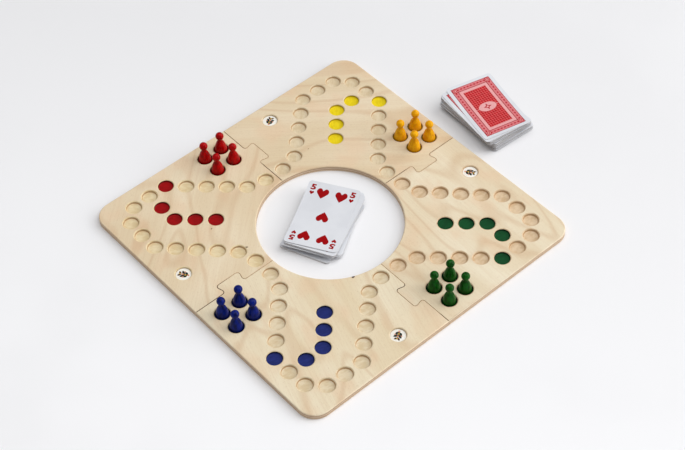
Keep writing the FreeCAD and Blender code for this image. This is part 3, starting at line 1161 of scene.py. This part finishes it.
@dataclass
class PawnSet:
    """The four pawns of a player, turned to one profile, in millimetres.

    The neck ends by the throat's length below the ball of the head. The ball's first ring lies by
    the throat's angle, in radians, above the place where the ball is as wide as the neck.
    """

    player: Player
    lacquer: PawnLacquer
    base_radius: float = 6.9
    base_height: float = 2.0
    skirt_bulge: float = 0.9
    neck_radius: float = 2.6
    neck_start: float = 15.8
    head_radius: float = 4.5
    height: float = 26.4
    base_round: float = 0.6
    skirt_rings: int = 12
    head_rings: int = 17
    sides: int = 40
    throat: float = 0.6
    throat_angle: float = 0.1
    smooth_angle: float = 50.0

    def profile(self) -> list[tuple[float, float]]:
        """Radius and height of each ring from the underside to just below the top."""
        arc = [math.radians(angle) for angle in range(0, 91, 30)]
        rounding, base = self.base_round, self.base_radius
        foot = [
            (base - rounding + rounding * math.sin(a), rounding - rounding * math.cos(a))
            for a in arc
        ]
        low = Vector((base, self.base_height - 0.5 * rounding))
        high = Vector((self.neck_radius, self.neck_start))
        chord = high - low
        outwards = Vector((chord.y, -chord.x)).normalized()
        skirt = []
        for i in range(self.skirt_rings + 1):
            share = i / self.skirt_rings
            bulge = 4 * self.skirt_bulge * share * (1 - share)
            skirt.append(tuple(low + share * chord + bulge * outwards))
        centre = self.height - self.head_radius
        throat = -math.acos(self.neck_radius / self.head_radius)
        neck = [(self.neck_radius, centre + self.head_radius * math.sin(throat) - self.throat)]
        head = []
        for i in range(self.head_rings):
            sweep = math.pi / 2 - throat - self.throat_angle
            angle = throat + self.throat_angle + sweep * i / self.head_rings
            ring = (math.cos(angle), math.sin(angle))
            head.append((self.head_radius * ring[0], centre + self.head_radius * ring[1]))
        return foot + skirt + neck + head

    def turned(self) -> Object:
        """Turns the pawn ring by ring, standing on the origin."""
        rings = self.profile()
        radius, height = rings[0]
        bpy.ops.object.select_all(action="DESELECT")
        bpy.ops.mesh.primitive_circle_add(
            vertices=self.sides, radius=radius * MM, fill_type="NGON", location=(0, 0, height * MM)
        )
        pawn = bpy.context.object
        bpy.ops.object.transform_apply(location=True, rotation=True, scale=True)
        with editing(pawn):
            bpy.ops.mesh.select_mode(type="FACE")
            bpy.ops.mesh.select_all(action="SELECT")
            for next_radius, next_height in rings[1:]:
                rise = {"value": (0.0, 0.0, (next_height - height) * MM)}
                bpy.ops.mesh.extrude_region_move(TRANSFORM_OT_translate=rise)
                scale = next_radius / radius
                bpy.ops.transform.resize(value=(scale, scale, 1.0))
                radius, height = next_radius, next_height
            rise = {"value": (0.0, 0.0, (self.height - height) * MM)}
            bpy.ops.mesh.extrude_region_move(TRANSFORM_OT_translate=rise)
            bpy.ops.mesh.merge(type="CENTER")
            bpy.ops.mesh.select_all(action="SELECT")
            bpy.ops.mesh.normals_make_consistent(inside=False)
        return pawn

    def build(self) -> None:
        """Stands a copy of the turned pawn where each of the player's pawns is."""
        pattern = self.turned()
        dress(pattern, self.lacquer.material())
        smooth(pattern, self.smooth_angle)
        for i in range(1, 5):
            node = f"pawn_{self.player.value}_{i}"
            low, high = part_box(node)
            middle = (low + high) / 2
            place = Matrix.Translation((middle.x, middle.y, low.z))
            spin = Matrix.Rotation(self.player.turn + i, 4, "Z")
            pawn = copy_of(pattern, f"turned_{node}", place @ spin)
            hand_over(pawn, node, f"lacquer_{self.player.value}", node)
        discard(pattern)


# Playing cards


@dataclass(frozen=True)
class CardSize:
    """A bridge-size playing card, in millimetres."""

    length: float = 88.0
    width: float = 57.0
    thickness: float = 0.3
    rounding: float = 3.5
    slit: float = 0.03


class Side(Enum):
    """Which finish a face of a card has, by its material's number."""

    FACE = 0
    EDGE = 1


def lay_shape(shape: Object, x: float, y: float, turn: float) -> Object:
    """Lays a printed shape on a card: x along and y across it in mm, its turn in degrees."""
    place = Matrix.Translation((x * MM, y * MM, 0.0))
    shape.data.transform(place @ Matrix.Rotation(math.radians(turn), 4, "Z"))
    return shape


@dataclass(frozen=True)
class HeartsPrint:
    """Red pips and numbers of a plain hearts card, on a card whose top end is at +X."""

    number: str
    pips: tuple[tuple[float, float], ...]
    ink: PrintInk = PrintInk("card_ink_red", "#9C0006", "#8A0006")
    pip: tuple[float, float] = (13.4, 13.4)
    small_pip: tuple[float, float] = (5.0, 4.8)
    digit: tuple[float, float] = (5.6, 7.6)
    index_side: float = 21.8
    digit_end: float = 35.8
    small_pip_end: float = 28.4
    font_size: float = 10.0
    weight: float = 0.45
    film: float = 0.04

    def draw(self, angle: float, middle: Vector) -> list[Object]:
        """Prints the pips and the four corner indices.

        Args:
            angle: angle of the card's long side, in radians, which plain ink doesn't need.
            middle: the card's middle, which plain ink doesn't need.

        Returns:
            The printed shapes, in the card's own frame, on z = 0.
        """
        ink = self.ink.material()
        shapes = []
        for x, y in self.pips:
            pip = printed_shape("pip", [heart(*self.pip)], self.film, ink)
            shapes.append(lay_shape(pip, x, y, -90.0 if x > 0 else 90.0))
        for end in (1, -1):
            for side in (1, -1):
                turn = -90.0 * end
                strokes = (self.font_size, self.weight, self.film)
                digit = printed_digit("number", self.number, *strokes, ink)
                width, height, _ = digit.dimensions / MM
                stretch = (self.digit[0] / width, self.digit[1] / height, 1.0, 1.0)
                digit.data.transform(Matrix.Diagonal(stretch))
                shapes.append(lay_shape(digit, end * self.digit_end, side * self.index_side, turn))
                pip = printed_shape("small_pip", [heart(*self.small_pip)], self.film, ink)
                place = (end * self.small_pip_end, side * self.index_side)
                shapes.append(lay_shape(pip, *place, turn))
        return shapes


@dataclass(frozen=True)
class BackPrint:
    """A plain red back: two bands round a netted field, with an oval and rosettes."""

    name: str
    plate: tuple[float, float] = (80.0, 48.4)
    outer_band: tuple[float, float] = (78.8, 47.2)
    outer_width: float = 5.5
    line: float = 0.8
    inner_width: float = 3.5
    oval_size: tuple[float, float] = (13.0, 21.0)
    tips: tuple[float, float] = (2.6, 31.0)
    star: tuple[float, float] = (10.0, 3.8)
    star_eye: float = 2.4
    rosette: float = 6.6
    rosette_inset: float = 0.6
    rosette_rings: tuple[float, float, float] = (0.72, 0.56, 0.26)
    beads: tuple[int, int] = (15, 9)
    bead: tuple[float, float] = (3.6, 2.2)
    film: float = 0.04

    def draw(self, angle: float, middle: Vector) -> list[Object]:
        """Prints the back, layer on layer.

        Args:
            angle: angle of the card's long side, in radians, for the net.
            middle: the card's middle, for the net.

        Returns:
            The printed shapes, in the card's own frame, on z = 0.
        """
        dark = PrintInk("back_ink_dark_red", "#9E1620", "#88101A").material()
        red = PrintInk("back_ink_red", "#B92430", "#A61C28").material()
        pink = PrintInk("back_ink_pink", "#D67C80", "#CB6B70").material()
        pale = PrintInk("back_ink_pale", "#E4A8A8", "#DA9798").material()
        net = NetInk(f"back_net_{self.name}", angle, middle).material()
        length, width = self.outer_band
        hole = (length - 2 * self.outer_width, width - 2 * self.outer_width)
        inner = (hole[0] - 2 * self.line, hole[1] - 2 * self.line)
        field = (inner[0] - 2 * self.inner_width, inner[1] - 2 * self.inner_width)
        run = (length - self.outer_width, width - self.outer_width)
        # Each layer's name, outlines, height in films of ink, and ink.
        layers = [
            ("plate", [rectangle(*self.plate)], 1, dark),
            ("outer_band", [rectangle(length, width), rectangle(*hole)], 2, pink),
            ("inner_band", [rectangle(*inner), rectangle(*field)], 2, pale),
            ("field", [rectangle(*field)], 2, net),
            *(("beads", row, 3, red) for row in self.bead_rows(run)),
            ("tips", [diamond(*self.tips)], 2.5, pale),
            ("oval", [oval(*self.oval_size)], 3, pale),
            ("star", [diamond(*self.star)], 4, red),
            ("star", [diamond(*reversed(self.star))], 4, red),
            ("star_eye", [oval(self.star_eye, self.star_eye)], 5, pale),
        ]
        corner = (run[0] / 2 - self.rosette_inset, run[1] / 2 - self.rosette_inset)
        sizes = (self.rosette, *(share * self.rosette for share in self.rosette_rings))
        for x in (-1, 1):
            for y in (-1, 1):
                disc, *rings = (oval(size, size, x * corner[0], y * corner[1]) for size in sizes)
                layers += [("rosette", [disc], 4, red), ("rosette_eye", rings, 5, pale)]
        return [
            printed_shape(name, outlines, films * self.film, ink)
            for name, outlines, films, ink in layers
        ]

    def bead_rows(self, run: tuple[float, float]) -> list[list[Outline]]:
        """Draws a row of diamonds along each side of the outer band.

        Args:
            run: length and width of the line that the rows follow, in millimetres.

        Returns:
            The diamonds of each row.
        """
        rows = []
        for axis, count in enumerate(self.beads):
            size = self.bead if axis == 0 else self.bead[::-1]
            for side in (-1, 1):
                row = []
                for i in range(count):
                    along = ((i + 1) / (count + 1) - 0.5) * run[axis]
                    across = side * run[1 - axis] / 2
                    place = (along, across) if axis == 0 else (across, along)
                    row.append(diamond(*size, *place))
                rows.append(row)
        return rows


@dataclass(frozen=True)
class Packet:
    """Cards that stand for one node of a pile, and how they are bowed, in millimetres.

    The ends stand off the middle by one height, and the middle stands off flat by another. A
    slipped card has its number from the lowest, and how far it sticks out along and across.
    """

    node: str
    ends: float
    rise: float = 0.0
    art: HeartsPrint | BackPrint | None = None
    slipped: tuple[tuple[int, float, float], ...] = ()


@dataclass
class CardPile:
    """Playing cards laid on each other, each as its own card, bowed along their pile.

    Sizes are in millimetres and angles in degrees. The cuts that let a card bow are spread over
    its length and a margin, and a print is sunk a little into its card.
    """

    direction: float
    packets: tuple[Packet, ...]
    board: CardBoard
    edge: CardEdge
    seed: int
    size: CardSize = CardSize()
    slip: float = 0.3
    slip_turn: float = 0.4
    stations: int = 8
    print_stations: int = 16
    cut_margin: float = 4.0
    print_sink: float = 0.01
    corner_steps: int = 4

    def place_of(self, node: str) -> tuple[Vector, float]:
        """Middle of the underside of a node's cards and the angle of their long side."""
        points = [vertex.co for vertex in frame["nodes"][node].data.vertices]
        low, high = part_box(node)
        middle = (low + high) / 2
        offsets = [(point - middle).to_2d() for point in points]
        spread_x = sum(offset.x**2 for offset in offsets)
        spread_y = sum(offset.y**2 for offset in offsets)
        both = sum(offset.x * offset.y for offset in offsets)
        angle = 0.5 * math.atan2(2 * both, spread_x - spread_y)
        return Vector((middle.x, middle.y, low.z)), angle

    def blank(self) -> Object:
        """One card lying on the origin, its long side along X."""
        size = self.size
        bpy.ops.object.select_all(action="DESELECT")
        bpy.ops.mesh.primitive_plane_add(size=MM)
        card = bpy.context.object
        with editing(card):
            bpy.ops.mesh.select_all(action="SELECT")
            bpy.ops.transform.resize(value=(size.length, size.width, 1.0))
            bpy.ops.mesh.bevel(
                offset=size.rounding * MM,
                offset_type="OFFSET",
                segments=self.corner_steps,
                affect="VERTICES",
            )
            bpy.ops.mesh.select_all(action="SELECT")
            rise = {"value": (0.0, 0.0, (size.thickness - size.slit) * MM)}
            bpy.ops.mesh.extrude_region_move(TRANSFORM_OT_translate=rise)
            bpy.ops.mesh.select_all(action="SELECT")
            bpy.ops.mesh.normals_make_consistent(inside=False)
        dress(card, self.board.material(), self.edge.material())
        for face in card.data.polygons:
            face.material_index = (Side.FACE if abs(face.normal.z) > 0.5 else Side.EDGE).value
        return card

    def cut_across(self, piece: Object, stations: int) -> None:
        """Cuts a flat piece into strips across the cards' length, so that it can bow."""
        length = (self.size.length + self.cut_margin) * MM
        with editing(piece):
            for i in range(1, stations):
                bpy.ops.mesh.select_all(action="SELECT")
                place = ((i / stations - 0.5) * length, 0.0, 0.0)
                bpy.ops.mesh.bisect(plane_co=place, plane_no=(1.0, 0.0, 0.0))

    def squared_up(self, card: Object, packet: Packet) -> list[Object]:
        """Lays copies of a card on each other on the origin, as a hand squares them up.

        Args:
            card: the card to copy.
            packet: the packet they make.

        Returns:
            The copies, with the print of the top one.
        """
        low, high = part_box(packet.node)
        count = round((high.z - low.z) / (self.size.thickness * MM))
        draw = random.Random(f"{self.seed} {packet.node}")
        underside, angle = self.place_of(packet.node)
        slipped = {number: (x, y) for number, x, y in packet.slipped}
        laid = []
        for i in range(count):
            x, y = (draw.uniform(-1, 1) * self.slip for _ in range(2))
            turn = math.radians(draw.uniform(-1, 1) * self.slip_turn)
            if i == count - 1:
                x, y, turn = 0.0, 0.0, 0.0
            x, y = slipped.get(i, (x, y))
            place = Matrix.Translation((x * MM, y * MM, i * self.size.thickness * MM))
            laid.append(copy_of(card, "card", place @ Matrix.Rotation(turn, 4, "Z")))
        if packet.art:
            surface = (count * self.size.thickness - self.size.slit - self.print_sink) * MM
            for shape in packet.art.draw(angle, underside):
                shape.data.transform(Matrix.Translation((0.0, 0.0, surface)))
                laid.append(shape)
        return laid

    def bow(self, piece: Object, packet: Packet) -> None:
        """Bows a piece that lies along X, so that its ends stand off its middle."""
        curvature = 8 * packet.ends / self.size.length**2
        along = [vertex.co.x for vertex in piece.data.vertices]
        on_edge = Matrix.Rotation(math.radians(-90), 4, "X")
        piece.data.transform(on_edge)
        select_only(piece)
        bend = piece.modifiers.new("bow", "SIMPLE_DEFORM")
        bend.deform_method = "BEND"
        bend.deform_axis = "Z"
        bend.angle = curvature * (max(along) - min(along)) / MM
        bpy.ops.object.modifier_apply(modifier=bend.name)
        piece.data.transform(on_edge.inverted())

    def build(self) -> None:
        """Lays, bows and places each packet."""
        blank = self.blank()
        pile_turn = Matrix.Rotation(math.radians(self.direction), 4, "Z")
        pile_middle, _ = self.place_of(self.packets[0].node)
        for packet in self.packets:
            underside, angle = self.place_of(packet.node)
            offset = Matrix.Translation((underside - pile_middle).to_2d().to_3d())
            piece = joined(f"{packet.node}_cards", self.squared_up(blank, packet))
            own_turn = Matrix.Rotation(angle, 4, "Z")
            piece.data.transform(pile_turn.inverted() @ offset @ own_turn)
            self.cut_across(piece, self.print_stations if packet.art else self.stations)
            self.bow(piece, packet)
            rise = Vector((0.0, 0.0, underside.z + packet.rise * MM))
            centre = Vector((pile_middle.x, pile_middle.y, 0.0))
            piece.data.transform(Matrix.Translation(centre + rise) @ pile_turn)
            smooth(piece)
            body = next(name for name, held in BODIES.items() if packet.node in held)
            hand_over(piece, body, CARD_SLOTS.get(packet.node, "card_stock"), packet.node)
        discard(blank)


BODIES = frame["record"]["behaviour"]["bodies"]
CARD_SLOTS = {
    "discard_top_card": "card_face",
    "draw_second_card": "card_back",
    "draw_top_card": "card_back",
}


# Stage


@dataclass(frozen=True)
class SoftLamp:
    """A square soft lamp that looks at the board's middle from a distance.

    Its azimuth is from +X and its elevation from the table, in degrees. Its distance and its side
    are in metres, and its power is in watts.
    """

    name: str
    azimuth: float
    elevation: float
    distance: float
    side: float
    power: float

    def hang(self) -> None:
        """Hangs the lamp."""
        azimuth, elevation = math.radians(self.azimuth), math.radians(self.elevation)
        flat, height = self.distance * math.cos(elevation), self.distance * math.sin(elevation)
        place = Vector((flat * math.cos(azimuth), flat * math.sin(azimuth), height))
        lamp = bpy.data.lights.new(self.name, "AREA")
        lamp.size = self.side
        lamp.energy = self.power
        holder = bpy.data.objects.new(self.name, lamp)
        holder.location = place
        holder.rotation_euler = place.to_track_quat("Z", "Y").to_euler()
        bpy.context.scene.collection.objects.link(holder)


@dataclass
class Studio:
    """Paper floor, a broad lamp from the right, weaker ones in front and overhead, pale walls.

    The floor's side is in metres, and its drop below the set in millimetres.
    """

    paper: StudioPaper = StudioPaper()
    floor_side: float = 50.0
    floor_drop: float = 0.05
    floor_cuts: int = 3
    lamps: tuple[SoftLamp, ...] = (
        SoftLamp("key_lamp", -19.0, 40.0, 4.0, 3.4, 92.0),
        SoftLamp("front_lamp", -48.0, 14.0, 4.0, 2.4, 60.0),
        SoftLamp("top_lamp", 0.0, 90.0, 3.0, 2.4, 38.0),
    )
    room: float = 0.3

    def build(self) -> None:
        """Lays the floor, hangs the lamps and lights the room."""
        bpy.ops.object.select_all(action="DESELECT")
        bpy.ops.mesh.primitive_plane_add(size=self.floor_side)
        floor = bpy.context.object
        floor.name = "studio_floor"
        with editing(floor):
            bpy.ops.mesh.select_all(action="SELECT")
            bpy.ops.transform.translate(value=(0.0, 0.0, -self.floor_drop * MM))
            bpy.ops.mesh.subdivide(number_cuts=self.floor_cuts)
        dress(floor, self.paper.material())
        for lamp in self.lamps:
            lamp.hang()
        world = bpy.data.worlds.new("studio_room")
        bpy.context.scene.world = world
        world.use_nodes = True
        room = world.node_tree.nodes["Background"]
        room.inputs["Strength"].default_value = self.room
        room.inputs["Color"].default_value = (1.0, 1.0, 1.0, 1.0)


@dataclass
class PhotoCamera:
    """Camera at the photograph's place and angle, in millimetres and degrees."""

    place: tuple[float, float, float] = (-705.78, -863.36, 1286.83)
    tilt: float = 40.8813
    roll: float = 1.3757
    turn: float = -41.4997
    lens: float = 85.802
    sensor: float = 36.0

    def build(self) -> None:
        """Sets the scene's camera."""
        camera = bpy.data.cameras.new("photo_camera")
        camera.lens = self.lens
        camera.sensor_width = self.sensor
        camera.sensor_fit = "HORIZONTAL"
        holder = bpy.data.objects.new("photo_camera", camera)
        holder.location = Vector(self.place) * MM
        holder.rotation_euler = [math.radians(a) for a in (self.tilt, self.roll, self.turn)]
        bpy.context.scene.collection.objects.link(holder)
        bpy.context.scene.camera = holder


VENEERS = {
    Player.BLUE: BirchVeneer(
        "birch_veneer_blue",
        grain=72.0,
        seed=3.0,
        pale="#E9DCC0",
        deep="#DFCDAB",
        knots=(KnotOrShadePatch(-31.8, -71.6, 4.4, 3.0, 20.0, "#3A1F14", 0.5),),
    ),
    Player.GREEN: BirchVeneer(
        "birch_veneer_green", grain=87.0, seed=150.0, pale="#EADEC4", deep="#E0CFB0"
    ),
    Player.YELLOW: BirchVeneer(
        "birch_veneer_yellow",
        grain=-40.0,
        seed=300.0,
        pale="#E4D3B6",
        deep="#DBC7A5",
        knots=(KnotOrShadePatch(50.8, 94.1, 1.8, 1.2, 0.0, "#A07C58", 0.6),),
    ),
    Player.RED: BirchVeneer(
        "birch_veneer_red",
        grain=42.0,
        seed=450.0,
        pale="#E7D7BA",
        deep="#DDC9A8",
        knots=(
            KnotOrShadePatch(-86.9, 31.9, 4.4, 1.6, -35.0, "#54371F", 0.6),
            KnotOrShadePatch(-97.6, 75.8, 2.2, 1.3, 30.0, "#7E6246", 0.6),
        ),
    ),
}

FLOORS = {
    Player.YELLOW: ("#DDCDAE", "#D0BC98"),
    Player.RED: ("#E3D2AC", "#D8C296"),
    Player.BLUE: ("#DFD0B2", "#D3BF9A"),
    Player.GREEN: ("#DBC3A2", "#CBAF8A"),
}

# Each pit paint's colour, its brush streaks' darker colour, and its painted shade up the wall.
PAINTS = {
    Player.YELLOW: ("#EAD21C", "#D4BA10", "#AE940A"),
    Player.RED: ("#9E050A", "#7E0306", "#5A0204"),
    Player.BLUE: ("#222E72", "#161F54", "#0C1234"),
    Player.GREEN: ("#0C4C26", "#07361A", "#03200F"),
}

# Nest pits' paints, darker all over than the other pits': painted shade round the pawns' bases.
# Each has its colour, its streaks' colour and its painted shade up the wall.
SHADED_NEST_PAINTS = {
    Player.YELLOW: ("#A5820E", "#8A6A0A", "#7A5A08"),
    Player.RED: ("#6E0408", "#560306", "#480204"),
    Player.BLUE: ("#0C1450", "#080E3C", "#060A2A"),
    Player.GREEN: ("#052F16", "#03220E", "#021A0A"),
}

# Each lacquer's colour and a darker one, which mottles the coat and gives the painted shade low on
# the skirt.
LACQUERS = {
    Player.YELLOW: ("#F0AE0E", "#DA9006"),
    Player.RED: ("#B00406", "#8A0204"),
    Player.BLUE: ("#0B1E74", "#071248"),
    Player.GREEN: ("#0E5410", "#093A0A"),
}

# Stretches of painted shade along the seams between the quarters.
SEAM_SHADE = (
    KnotOrShadePatch(-150.0, 0.0, 70.0, 30.0, 0.0, "#4E3622", 0.6),
    KnotOrShadePatch(0.0, 92.0, 40.0, 26.0, 90.0, "#5A3E28", 0.6),
    KnotOrShadePatch(-3.0, 160.0, 46.0, 20.0, 90.0, "#8A6C4C", 0.6),
    KnotOrShadePatch(92.0, 0.0, 34.0, 24.0, 0.0, "#6E5036", 0.6),
    KnotOrShadePatch(160.0, 0.0, 40.0, 24.0, 0.0, "#8A6C4C", 0.6),
    KnotOrShadePatch(-6.0, -115.5, 15.0, 12.0, 90.0, "#3E2614", 0.4),
    KnotOrShadePatch(-1.0, -172.0, 16.0, 10.0, 90.0, "#7A5C40", 0.6),
)

FIVE_PIPS = ((29.6, 10.2), (29.6, -10.2), (-29.6, 10.2), (-29.6, -10.2), (-0.01, 0.0))
TWO_PIPS = ((27.0, 0.0), (-27.0, 0.0))


def main() -> None:
    """Builds the board, the discs, the pawns, the cards and the stage in order."""
    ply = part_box("board_quarter_blue")[1].z / MM / PLIES
    edge = PlywoodEdge("plywood_edge", ply)
    wall = PlywoodEdge("milled_pit_wall", ply, "#D8BF98", "#BC9870", "#8A6648")
    paper = CardBoard("disc_paper", colour="#F4F2EA", cloud="#ECE9E0")
    inks = (
        PrintInk("disc_ink_charcoal", "#26302A", "#1A1E1B"),
        PrintInk("disc_ink_brown", "#4E3028", "#38211B"),
        PrintInk("disc_ink_salmon", "#D59A7E", "#B8745A"),
        PrintInk("disc_ink_gold", "#C8A24A", "#A8822E"),
    )
    for player in Player:
        veneer = VENEERS[player]
        across = veneer.grain + 90.0
        floor = MilledBirch(f"milled_birch_{player.value}", across, *FLOORS[player])
        paint = PitPaint(f"pit_paint_{player.value}", *PAINTS[player], across)
        nest = PitPaint(f"shaded_nest_paint_{player.value}", *SHADED_NEST_PAINTS[player], across)
        seam = SeamArris(f"seam_arris_{player.value}", "#CDB18C", "#B49470", SEAM_SHADE)
        finishes = dict(zip(QuarterFace, (veneer, edge, floor, wall, paint, nest, seam)))
        PlywoodQuarter(player, finishes).build()
        PictureDisc(player, paper, inks).build()
        PawnSet(player, PawnLacquer(f"pawn_lacquer_{player.value}", *LACQUERS[player])).build()
    board = CardBoard("card_board")
    # Card edges grey with painted shade: darker on the draw pile, lighter on the discards.
    card_edge = CardEdge("card_edge", CardSize().thickness)
    less_shaded_edge = CardEdge("card_edge_less_shade", CardSize().thickness, "#DEDCDA", "#B2AFAD", "#A5A2A0")
    two_of_hearts = HeartsPrint("2", TWO_PIPS, index_side=17.5)
    discards = (
        Packet("discard_packet_1", -0.3, 0.4),
        Packet(
            "discard_packet_2", 0.6, 0.4, None, ((3, -1.6, 0.3), (4, -1.5, 0.4), (8, 0.9, -0.5))
        ),
        Packet("discard_packet_3", 1.1, 0.4, None, ((2, 1.2, 0.0), (3, 1.3, 0.2), (6, -1.2, 0.4))),
        Packet("discard_packet_4", 1.6, 0.4, two_of_hearts, ((2, 1.4, 0.3), (3, 1.5, 0.2))),
        Packet("discard_top_card", 2.3, 0.4, HeartsPrint("5", FIVE_PIPS)),
    )
    CardPile(28.0, discards, board, less_shaded_edge, 7).build()
    draws = (
        Packet("draw_packet_1", 0.2, slipped=((5, -0.9, 0.6), (11, 0.8, -0.8))),
        Packet("draw_packet_2", 0.5, slipped=((7, 0.7, 0.9),)),
        Packet("draw_packet_3", 0.8, 0.0, BackPrint("third"), slipped=((6, -0.8, -0.7),)),
        Packet("draw_second_card", 1.0, 0.0, BackPrint("second")),
        Packet("draw_top_card", 1.25, 0.0, BackPrint("top")),
    )
    CardPile(84.0, draws, board, card_edge, 11).build()
    PhotoCamera().build()
    Studio().build()
    bpy.context.scene.view_settings.view_transform = "Standard"


if __name__ == "__main__":
    main()
